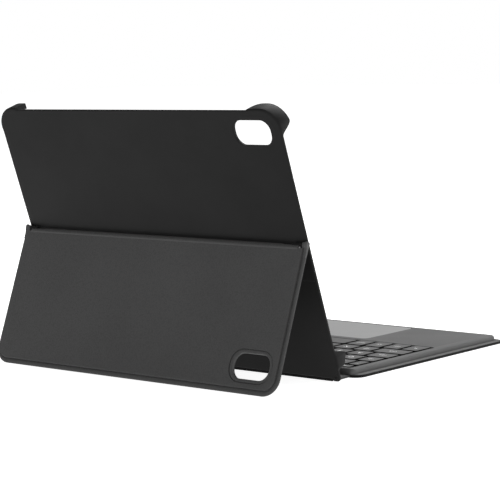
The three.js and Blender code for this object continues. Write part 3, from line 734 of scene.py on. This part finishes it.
def swept(name, stations, material):
    """A solid along x from stations of (x, section), with flat ends."""
    skin = Skin()
    skin.closed([skin.ring([(x, y, z) for y, z in section]) for x, section in stations])
    return skin.piece(name, KICKSTAND_FRAME, [material], sharp=40)


def kickstand_hem():
    """The folded top of the outer cover, along the hinge."""
    left = [(-HEM_HALF_LENGTH + inward, share) for inward, share in HEM_ENDS]
    right = [(HEM_HALF_LENGTH - inward, share) for inward, share in reversed(HEM_ENDS)]
    stations = [(x, [(y, z * share) for y, z in HEM_SECTION]) for x, share in left + right]
    # The hem's leather is painted lighter, as the light on its up-facing edge.
    return swept("kickstand_hinge_hem", stations, KICKSTAND_LEATHER_PAINTED_LIT)


def knuckle_sleeve(label, side):
    """The dark sleeve round the hinge leaf's knuckle, beside the ear."""
    turns = [math.tau * step / SLEEVE_STEPS for step in range(SLEEVE_STEPS)]
    stations = []
    for x, share in SLEEVE_STATIONS:
        reach = SLEEVE_RADIUS * share
        stations.append((side * x, [(reach * math.sin(turn), reach * math.cos(turn)) for turn in turns]))
    return swept(f"kickstand_sleeve_{label}", stations, UNDER_LEATHER_AND_SHADE)


def hinge_ear(label, side):
    """The raised end of the hinge line, outside the sleeve."""
    stations = []
    for x, share in EAR_STATIONS:
        section = [(y * share if y > EAR_ROOT else y, z * share) for y, z in EAR_SECTION]
        stations.append((side * x, section))
    # The ear's leather is painted lighter, as the light on the hinge's up-facing edge.
    return swept(f"kickstand_ear_{label}", stations, KICKSTAND_LEATHER_PAINTED_LIT)


settle(kickstand_panel(), "kickstand", "kickstand_leather", "kickstand_outer_skin")
settle(kickstand_lining(), "kickstand", "inner_leather", "kickstand_inner_skin")
settle(kickstand_hem(), "kickstand", "kickstand_leather")
for ear_label, ear_side in (("left", -1), ("right", 1)):
    settle(hinge_ear(ear_label, ear_side), "kickstand", "kickstand_leather")
    settle(knuckle_sleeve(ear_label, ear_side), "kickstand", "inner_leather")

# ---- Keyboard base ----

BASE_BOX = (-128.2, 128.2, -184.6, -15.9)
BASE_RADIUS = (5, 5, 7.5, 7.5)
BASE_STEPS = 16
# Its black is partly the leather and partly painted shade under the grey flange.
UNDER_AND_SHADE_SLOT = 1  # the underside leather, in the cover and in the spine
# Sections as (in from the edge, height): the black underside, whose side band is also painted shade under the
# flange, and the grey flange that is rolled up round it.
UNDERSIDE = ((7, 0), (0.5, 0), (0.15, 0.08), (0, 0.3), (0, 1.0), (0, 1.85))
FLANGE = (
    (0.06, 1.98), (0.28, 2.12), (0.8, 2.26), (1.6, 2.38), (2.4, 2.45), (3.1, 2.46), (3.5, 2.36), (3.75, 2.1),
    (3.78, 1.0), (5, 0.75), (7, 0.7),
)
DECK_BOX = (-124.4, 124.4, -180.8, -16.1)
DECK_RADIUS = (4, 4, 3.5, 3.5)
DECK_STEPS = 12
# The deck's front and sides, and its steeper rear.
DECK_SIDE = (
    (1.2, 5.2), (1.2, 0.95), (0.1, 0.95), (0, 1.1), (0, 3.5), (0.1, 4.3), (0.42, 5.02), (1.0, 5.56),
    (1.8, 5.9), (2.7, 6.06), (3.6, DECK_TOP),
)
DECK_REAR = (
    (1.2, 5.2), (1.2, 0.95), (0.1, 0.95), (0, 1.1), (0, 4.7), (0.04, 5.1), (0.15, 5.42), (0.35, 5.7),
    (0.65, 5.93), (1.0, 6.06), (1.35, DECK_TOP),
)
# The rim of the key well and of the trackpad's opening.
OPENING_RIM = ((0, DECK_TOP - DECK_SKIN), (0, 5.6), (-0.06, 5.88), (-0.25, 6.04), (-0.5, DECK_TOP))
RIM_STEPS = 6
WELL_RADIUS = 1.6
PAD_CLEARANCE = 0.4
PAD_RADIUS = 5
# Blocks that are cut out of the deck, each between two corners: for the port, the power switch and the lens.
DECK_CUTS = (
    ((122, -158.3, 1.45), (126, -148.7, 5.15)),
    ((122, -142.4, 2.1), (126, -135.1, 4.5)),
    ((95.8, -115.7, 4), (104.2, -113.9, 7)),
)
# Round the trackpad, as (in from the edge, above its top).
TRACKPAD_EDGE = ((0.3, -0.8), (0.06, -0.7), (0, -0.5), (0, -0.23), (0.08, -0.09), (0.3, 0), (0.9, 0))
TRACKPAD_RADIUS = 4.6
TRACKPAD_STEPS = 10
KNOB_ROOT = 121.2
KNOB_FACE = 124.9
KNOB_FRONT = -142
KNOB_REAR = -138
KNOB_LOW = 2.4
KNOB_HIGH = 4.2
KNOB_BEVEL = 0.25
KNOB_GROOVES = 5
KNOB_PITCH = 0.62
KNOB_DEPTH = 0.22  # of a groove
KNOB_WALLS = (0, 0.14, 0.3, 0.44)  # where a groove's walls start and end


def base_cover():
    skin = Skin()
    low = [skin.ring(inset(BASE_BOX, BASE_RADIUS, depth, level, BASE_STEPS)) for depth, level in UNDERSIDE]
    skin.band(low, UNDER_AND_SHADE_SLOT)
    rest = [skin.ring(inset(BASE_BOX, BASE_RADIUS, depth, level, BASE_STEPS)) for depth, level in FLANGE]
    skin.band([low[-1], *rest])
    skin.fill(low[0], material=UNDER_AND_SHADE_SLOT)
    skin.fill(rest[-1])
    return skin.piece("base_cover", BASE_FRAME, [BASE_LEATHER, UNDER_LEATHER_AND_SHADE])


def block(low, high):
    """A closed box between two corners, used as a cutter."""
    made = bmesh.new()
    bmesh.ops.create_cube(made, size=1)
    size = Vector(high) - Vector(low)
    middle = (Vector(high) + Vector(low)) / 2
    made.transform(BASE_FRAME @ Matrix.Translation(middle) @ Matrix.Diagonal((*size, 1)))
    data = bpy.data.meshes.new("cutter")
    made.to_mesh(data)
    made.free()
    cutter = bpy.data.objects.new("cutter", data)
    bpy.context.scene.collection.objects.link(cutter)
    return cutter


def cut(piece, *cutters):
    """Cuts the blocks out of the piece and keeps its materials."""
    for cutter in cutters:
        modifier = piece.modifiers.new("cut", "BOOLEAN")
        modifier.object = cutter
        modifier.operation = "DIFFERENCE"
        modifier.solver = "EXACT"
    bpy.context.view_layer.update()
    evaluated = piece.evaluated_get(bpy.context.evaluated_depsgraph_get())
    data = bpy.data.meshes.new_from_object(evaluated)
    piece.modifiers.clear()
    piece.data = data
    for cutter in cutters:
        bpy.data.objects.remove(cutter)
    data.set_sharp_from_angle(angle=math.radians(SHARP_ANGLE))


def deck():
    skin = Skin()
    rings = []
    for side, rear in zip(DECK_SIDE, DECK_REAR):
        outline = inset(DECK_BOX, DECK_RADIUS, side[0], side[1], DECK_STEPS, rear[0])
        rings.append(skin.ring(raised(outline, rear[1] - side[1], DECK_STEPS)))
    left, right, front, back = TRACKPAD
    pad = (left - PAD_CLEARANCE, right + PAD_CLEARANCE, front - PAD_CLEARANCE, back + PAD_CLEARANCE)
    holes = []
    for box, radius in ((WELL, WELL_RADIUS), (pad, PAD_RADIUS)):
        holes.append([skin.ring(inset(box, radius, depth, level, RIM_STEPS)) for depth, level in OPENING_RIM])
    skin.closed(rings, *holes)
    made = skin.piece("keyboard_deck", BASE_FRAME, [DECK_PLASTIC])
    cut(made, *[block(low, high) for low, high in DECK_CUTS])
    return made


def trackpad():
    skin = Skin()
    rings = []
    for depth, level in TRACKPAD_EDGE:
        rings.append(skin.ring(inset(TRACKPAD, TRACKPAD_RADIUS, depth, TRACKPAD_TOP + level, TRACKPAD_STEPS)))
    skin.closed(rings)
    return skin.piece("trackpad_plate", BASE_FRAME, [TRACKPAD_FILM])


def slider_knob():
    """The power switch's knob, with a row of grooves across its outer face."""
    skin = Skin()
    groove = KNOB_FACE - KNOB_DEPTH
    bevel = KNOB_FACE - KNOB_BEVEL
    outline = [(KNOB_ROOT, KNOB_FRONT), (bevel, KNOB_FRONT), (KNOB_FACE, KNOB_FRONT + KNOB_BEVEL)]
    for index in range(KNOB_GROOVES):
        start = KNOB_FRONT + 2 * KNOB_BEVEL + index * KNOB_PITCH
        walls = zip((KNOB_FACE, groove, groove, KNOB_FACE), KNOB_WALLS)
        outline += [(x, start + along) for x, along in walls]
    outline += [(KNOB_FACE, KNOB_REAR - KNOB_BEVEL), (bevel, KNOB_REAR), (KNOB_ROOT, KNOB_REAR)]
    skin.closed([skin.ring([(x, y, level) for x, y in outline]) for level in (KNOB_LOW, KNOB_HIGH)])
    return skin.piece("power_slider_knob", BASE_FRAME, [TRAY_PLASTIC])


settle(base_cover(), "keyboard_base", "base_leather", "base_skin")
settle(deck(), "keyboard_base", "deck_plastic", "deck")
settle(trackpad(), "trackpad", "trackpad_film", "trackpad_surface")
settle(slider_knob(), "power_switch", "tray_plastic", "power_slider")

# ---- Spine ----
# One skin in two halves that meet in the middle, each with a crease at its own fold.

SPINE_HALF_WIDTH = 120
SPINE_FLARE = 3  # how much wider it gets on the way to the shell's fold, before it narrows to the notch
SPINE_FLARE_START = 0.45  # the share of the flare at the keyboard's fold
SPINE_NARROWING = (2.1, 0.5)  # it narrows between these distances in front of the shell's fold
SPINE_LOW = 0.3
SPINE_HIGH = 1.86
SPINE_DROP = 0.5  # behind the shell's fold the underside comes down to the floor over this distance
SPINE_ROWS = 26
SPINE_EDGE = 0.5
SPINE_EDGE_MOST = 1 / 2.2  # as a share of the thickness
SPINE_TUCK = 1.1  # how far it reaches in front of the keyboard's fold
CREASE_DEPTH = 0.12
CREASE_WIDTH = 0.7
# The distance over which a half would bend, from its fold: in the spine, in the keyboard and in the shell.
# Nothing here bends it.
BEND_IN_SPINE = 2.6
BEND_IN_BASE = 1.0
BEND_IN_SHELL = 0.7


def strip_section(half, low, high):
    """Points round a flat strip's section with rounded side edges, as (across, height)."""
    edge = min(SPINE_EDGE, (high - low) * SPINE_EDGE_MOST)
    bevel = 0.3 * edge
    rounding = ((edge, 0), (bevel, bevel), (0, edge))
    right = [(half - across, low + rise) for across, rise in rounding]
    right += [(half - across, high - rise) for across, rise in reversed(rounding)]
    return right + [(-x, z) for x, z in reversed(right)]


def spine_half(name, start, end, crease_y):
    """A strip across the spine from start to end along y, with a crease at its fold."""
    skin = Skin()
    front_fold, rear_fold = base_fold.y / MM, shell_fold.y / MM
    narrow_start, narrow_end = SPINE_NARROWING
    rings = []
    for row in range(SPINE_ROWS + 1):
        y = start + (end - start) * row / SPINE_ROWS
        along = min(max((y - front_fold) / (rear_fold - front_fold), 0), 1)
        flare = SPINE_FLARE * (SPINE_FLARE_START + (1 - SPINE_FLARE_START) * along**2)
        half = SPINE_HALF_WIDTH + flare * ease((rear_fold - narrow_end - y) / (narrow_start - narrow_end))
        low = SPINE_LOW * (1 - ease((y - rear_fold) / SPINE_DROP))
        high = SPINE_HIGH - CREASE_DEPTH * math.exp(-(((y - crease_y) / CREASE_WIDTH) ** 2))
        rings.append(skin.ring([(x, y, z) for x, z in strip_section(half, low, high)]))
    skin.band(rings)
    skin.fill(rings[0])
    skin.fill(rings[-1], material=UNDER_AND_SHADE_SLOT)
    return skin.piece(name, Matrix.Scale(MM, 4), [SPINE_LEATHER, UNDER_LEATHER_AND_SHADE])


def spine():
    middle = (base_fold.y + shell_fold.y) / 2 / MM
    front = base_fold.y / MM - SPINE_TUCK
    rear = shell_origin.y / MM
    half_front = spine_half("spine_skin_front", front, middle, base_fold.y / MM)
    half_rear = spine_half("spine_skin_rear", middle, rear, shell_fold.y / MM)
    for piece, fold, first, second, before, after in (
        (half_front, base_fold, "keyboard_base", "spine", BEND_IN_BASE, BEND_IN_SPINE),
        (half_rear, shell_fold, "spine", "back_shell_body", BEND_IN_SPINE, BEND_IN_SHELL),
    ):
        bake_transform(piece)
    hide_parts("spine_inner_skin")
    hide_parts("spine_outer_skin")


spine()

# ---- Keys ----

# Widths in key units: a modifier or an arrow, the space bar, and the keys that start the letter rows.
MODIFIER = 0.92
SPACE = ROW_UNITS - 9 * MODIFIER
SHIFT, CAPS, TAB, GRAVE = 1.63, 1.23, 0.92, 0.61
LETTER_SIZE = 5.4
WORD_SIZE = 3.6
PAIR_SIZE = 4.1
PAIR_SPACING = 1.15
UP, DOWN, LEFT, RIGHT = "arrow up", "arrow down", "arrow left", "arrow right"

# Each single key: node, left end and width in key units, row, the span of the row's depth, and legend.
SINGLE_KEYS = (
    ("key_function", 0, MODIFIER, 0, 0, 1, "fn"),
    ("key_control", MODIFIER, MODIFIER, 0, 0, 1, "ctrl"),
    ("key_option_left", 2 * MODIFIER, MODIFIER, 0, 0, 1, "alt"),
    ("key_command_left", 3 * MODIFIER, MODIFIER, 0, 0, 1, "cmd"),
    ("key_space", 4 * MODIFIER, SPACE, 0, 0, 1, ""),
    ("key_command_right", 4 * MODIFIER + SPACE, MODIFIER, 0, 0, 1, "cmd"),
    ("key_option_right", 5 * MODIFIER + SPACE, MODIFIER, 0, 0, 1, "alt"),
    ("key_arrow_left", 6 * MODIFIER + SPACE, MODIFIER, 0, 0, 1, LEFT),
    ("key_arrow_down", 7 * MODIFIER + SPACE, MODIFIER, 0, 0, 0.46, DOWN),
    ("key_arrow_up", 7 * MODIFIER + SPACE, MODIFIER, 0, 0.54, 1, UP),
    ("key_arrow_right", 8 * MODIFIER + SPACE, MODIFIER, 0, 0, 1, RIGHT),
    ("key_shift_left", 0, SHIFT, 1, 0, 1, "shift"),
    ("key_shift_right", SHIFT + 10, ROW_UNITS - SHIFT - 10, 1, 0, 1, "shift"),
    ("key_caps_lock", 0, CAPS, 2, 0, 1, "caps"),
    ("key_enter", CAPS + 11, ROW_UNITS - CAPS - 11, 2, 0, 1, "enter"),
    ("key_tab", 0, TAB, 3, 0, 1, "tab"),
    ("key_backslash", TAB + 12, ROW_UNITS - TAB - 12, 3, 0, 1, "|\n\\"),
    ("key_grave", 0, GRAVE, 4, 0, 1, "~\n`"),
    ("key_backspace", GRAVE + 12, ROW_UNITS - GRAVE - 12, 4, 0, 1, "delete"),
    ("key_escape", 0, 1, 5, 0, 1, "esc"),
)
# Each run of equal keys: node, left end, row, and legends.
KEY_RUNS = (
    ("keys_lower_letters", SHIFT, 1, [*"ZXCVBNM", "<\n,", ">\n.", "?\n/"]),
    ("keys_home_letters", CAPS, 2, [*"ASDFGHJKL", ":\n;", "\"\n'"]),
    ("keys_upper_letters", TAB, 3, [*"QWERTYUIOP", "{\n[", "}\n]"]),
    ("keys_numbers", GRAVE, 4, [f"{a}\n{b}" for a, b in zip("!@#$%^&*()_+", "1234567890-=")]),
    ("keys_function_row", 1, 5, [*[f"F{number}" for number in range(1, 13)], "lock"]),
)


def key_box(start, width, row, low, high):
    front = KEY_FRONT + sum(KEY_DEPTHS[:row]) + row * KEY_ROW_GAP
    depth = KEY_DEPTHS[row]
    left = -FIELD_HALF_WIDTH + start * KEY_UNIT
    return (left, left + width * KEY_UNIT - KEY_GAP, front + low * depth, front + high * depth)


# A cap's rim and its flat top, as (in from the key's edge, above its top).
KEY_RIM = ((0.6, -1.4), (0.25, -1.25), (0.25, -0.4), (0.3, -0.2), (0.42, -0.08), (0.65, -0.02))
KEY_FACE = ((0.9, -0.005), (1.2, 0))
KEY_RADIUS = 1.9
KEY_STEPS = 6
CAP_SLOT, INK_SLOT, SHADED_SIDE_SLOT = range(3)
INK_LEVEL = KEY_TOP + 0.015
ARROW_REACH = 1.7
ARROW_CORNERS = (0, 125, 235)  # degrees from where the arrow points


def add_cap(skin, box):
    """A key cap with rounded corners, a soft rim and a flat top. The rim's sides are painted almost black, as
    the shade in the gaps between keys.
    """
    section = KEY_RIM + KEY_FACE
    rings = [skin.ring(inset(box, KEY_RADIUS, depth, KEY_TOP + level, KEY_STEPS)) for depth, level in section]
    skin.band(rings[: len(KEY_RIM)], SHADED_SIDE_SLOT)
    skin.band(rings[len(KEY_RIM) - 1 :], CAP_SLOT)
    skin.fill(rings[0], material=SHADED_SIDE_SLOT)
    skin.fill(rings[-1], material=CAP_SLOT)


def add_arrow(skin, box, direction):
    """A small solid triangle that points along the key's direction."""
    turn = {RIGHT: 0, UP: 90, LEFT: 180, DOWN: 270}[direction]
    x, y = (box[0] + box[1]) / 2, (box[2] + box[3]) / 2
    corners = []
    for angle in ARROW_CORNERS:
        heading = math.radians(angle + turn)
        corners.append((x + ARROW_REACH * math.cos(heading), y + ARROW_REACH * math.sin(heading), INK_LEVEL))
    skin.mesh.faces.new(skin.ring(corners)).material_index = INK_SLOT


def add_text(skin, box, text):
    """A legend in the middle of the key, laid flat on its top."""
    curve = bpy.data.curves.new("legend", "FONT")
    curve.body = text
    lines = text.split("\n")
    curve.size = WORD_SIZE if len(lines[0]) > 1 else LETTER_SIZE
    if len(lines) > 1:
        curve.size = PAIR_SIZE
        curve.space_line = PAIR_SPACING
    curve.align_x = "CENTER"
    curve.align_y = "CENTER"
    curve.resolution_u = 3
    holder = bpy.data.objects.new("legend", curve)
    data = bpy.data.meshes.new_from_object(holder)
    x, y = (box[0] + box[1]) / 2, (box[2] + box[3]) / 2
    copies = [skin.mesh.verts.new((v.co.x + x, v.co.y + y, INK_LEVEL)) for v in data.vertices]
    for polygon in data.polygons:
        skin.mesh.faces.new([copies[index] for index in polygon.vertices]).material_index = INK_SLOT
    bpy.data.objects.remove(holder)
    bpy.data.meshes.remove(data)


def add_key(skin, box, legend):
    add_cap(skin, box)
    if legend in (UP, DOWN, LEFT, RIGHT):
        add_arrow(skin, box, legend)
    elif legend:
        add_text(skin, box, legend)


def key_piece(node, boxes_and_legends):
    skin = Skin()
    for box, legend in boxes_and_legends:
        add_key(skin, box, legend)
    made = skin.piece(node + "_caps", BASE_FRAME, [KEY_PLASTIC, INK, KEY_SIDES_PAINTED_SHADE])
    settle(made, node + "_body", "key_plastic", node)


for node, start, width, row, low, high, legend in SINGLE_KEYS:
    key_piece(node, [(key_box(start, width, row, low, high), legend)])
for node, start, row, legends in KEY_RUNS:
    key_piece(node, [(key_box(start + index, 1, row, 0, 1), legend) for index, legend in enumerate(legends)])

# ---- Materials of the CAD nodes that stay ----

NODE_MATERIALS = {
    "lining_sheet": LINING_FABRIC,
    "kickstand_board": BOARD,
    "base_tray": TRAY_PLASTIC,
    "key_plate": STEEL,
    "switch_membrane": MEMBRANE,
    "battery_cell": FOIL,
    "lid_magnet": NICKEL,
    "main_board": CIRCUIT,
    "charge_port": STEEL,
    "indicator_lens": LENS,
    "click_switch": TRAY_PLASTIC,
    "case_screw": STEEL,
    "trackpad_board": CIRCUIT,
    "hinge": STEEL,
}
for node_name, node_object in frame["nodes"].items():
    for prefix, node_material in NODE_MATERIALS.items():
        if node_name.startswith(prefix):
            node_object.data.materials.clear()
            node_object.data.materials.append(node_material)

# ---- Floor, light and camera ----

FLOOR_REACH = 6
FLOOR_DROP = 0.0003  # keeps the floor clear of the case's underside
FLOOR_GLOW = 0.93  # a light table, which keeps the shadows faint
WALL_GLOW = 0.3  # the studio's walls, next to 1 for the white band behind the floor
CEILING_GLOW = 0.4
# The world's brightness, as (height of the direction: 0 at the horizon and 1 overhead, brightness).
WORLD_STOPS = ((0.0, 1.0), (0.05, 1.0), (0.16, WALL_GLOW), (0.62, WALL_GLOW), (0.92, CEILING_GLOW))
LIGHT_TARGET = (0, 0, 0.1)
# Each light's name, place, width and height in metres, and power in watts.
LIGHTS = (
    ("front", (0.15, -1.1, 1.75), (2.0, 1.3), 44),
    ("side", (-1.6, -1.3, 0.6), (1.0, 0.8), 13),
    ("back", (-0.5, 1.6, 1.3), (1.4, 1.0), 10),
)
CAMERA_PLACE = (-0.86470, 0.98847, 0.21676)
CAMERA_YAW = 0.717909  # the view's heading, from the case's own -Y towards +X
CAMERA_PITCH = 0.109549  # below the horizon
CAMERA_ROLL = -0.027886
CAMERA_LENS = 136.06
SENSOR_WIDTH = 36


def floor():
    data = bpy.data.meshes.new("floor")
    corners = [(x * FLOOR_REACH, y * FLOOR_REACH, 0) for x, y in ((-1, -1), (1, -1), (1, 1), (-1, 1))]
    data.from_pydata(corners, [], [(0, 1, 2, 3)])
    nodes = Nodes("floor")
    cloud = nodes.noise(3, 3)
    colour = nodes.colour(nodes.spread(cloud, 0, 1), grey(0.5), grey(0.55))
    nodes.set(Emission_Color=(1, 1, 1, 1), Emission_Strength=FLOOR_GLOW)
    data.materials.append(nodes.done(colour, nodes.spread(cloud, 0.75, 0.85)))
    made = bpy.data.objects.new("floor", data)
    made.location.z = -FLOOR_DROP
    bpy.context.scene.collection.objects.link(made)


def area_light(name, place, size, power):
    data = bpy.data.lights.new(name, "AREA")
    data.shape = "RECTANGLE"
    data.size, data.size_y = size
    data.energy = power
    made = bpy.data.objects.new(name, data)
    made.location = place
    made.rotation_mode = "QUATERNION"
    made.rotation_quaternion = (Vector(LIGHT_TARGET) - Vector(place)).to_track_quat("-Z", "Y")
    bpy.context.scene.collection.objects.link(made)


def world():
    """A white band along the floor's far edge, dim walls, and a slightly brighter ceiling."""
    made = bpy.data.worlds.new("studio")
    made.use_nodes = True
    nodes = made.node_tree.nodes
    place = nodes.new("ShaderNodeTexCoord")
    split = nodes.new("ShaderNodeSeparateXYZ")
    ramp = nodes.new("ShaderNodeValToRGB")
    elements = ramp.color_ramp.elements
    elements.remove(elements[1])
    elements[0].color = (*grey(WORLD_STOPS[0][1]), 1)
    for stop, value in WORLD_STOPS[1:]:
        elements.new(stop).color = (*grey(value), 1)
    links = made.node_tree.links
    links.new(place.outputs["Generated"], split.inputs[0])
    links.new(split.outputs["Z"], ramp.inputs["Fac"])
    links.new(ramp.outputs["Color"], nodes["Background"].inputs["Color"])
    bpy.context.scene.world = made


def camera():
    across = math.cos(CAMERA_PITCH)
    forward = Vector((math.sin(CAMERA_YAW) * across, -math.cos(CAMERA_YAW) * across, -math.sin(CAMERA_PITCH)))
    level = forward.cross(Vector((0, 0, 1))).normalized()
    upward = level.cross(forward)
    right = math.cos(CAMERA_ROLL) * level + math.sin(CAMERA_ROLL) * upward
    above = -math.sin(CAMERA_ROLL) * level + math.cos(CAMERA_ROLL) * upward
    data = bpy.data.cameras.new("camera")
    data.lens = CAMERA_LENS
    data.sensor_width = SENSOR_WIDTH
    made = bpy.data.objects.new("camera", data)
    turn = Matrix((right, above, -forward)).transposed().to_4x4()
    made.matrix_world = Matrix.Translation(CAMERA_PLACE) @ turn
    bpy.context.scene.collection.objects.link(made)
    bpy.context.scene.camera = made


floor()
world()
for light_name, light_place, light_size, light_power in LIGHTS:
    area_light(light_name, light_place, light_size, light_power)
camera()
bpy.context.scene.view_settings.view_transform = "Standard"
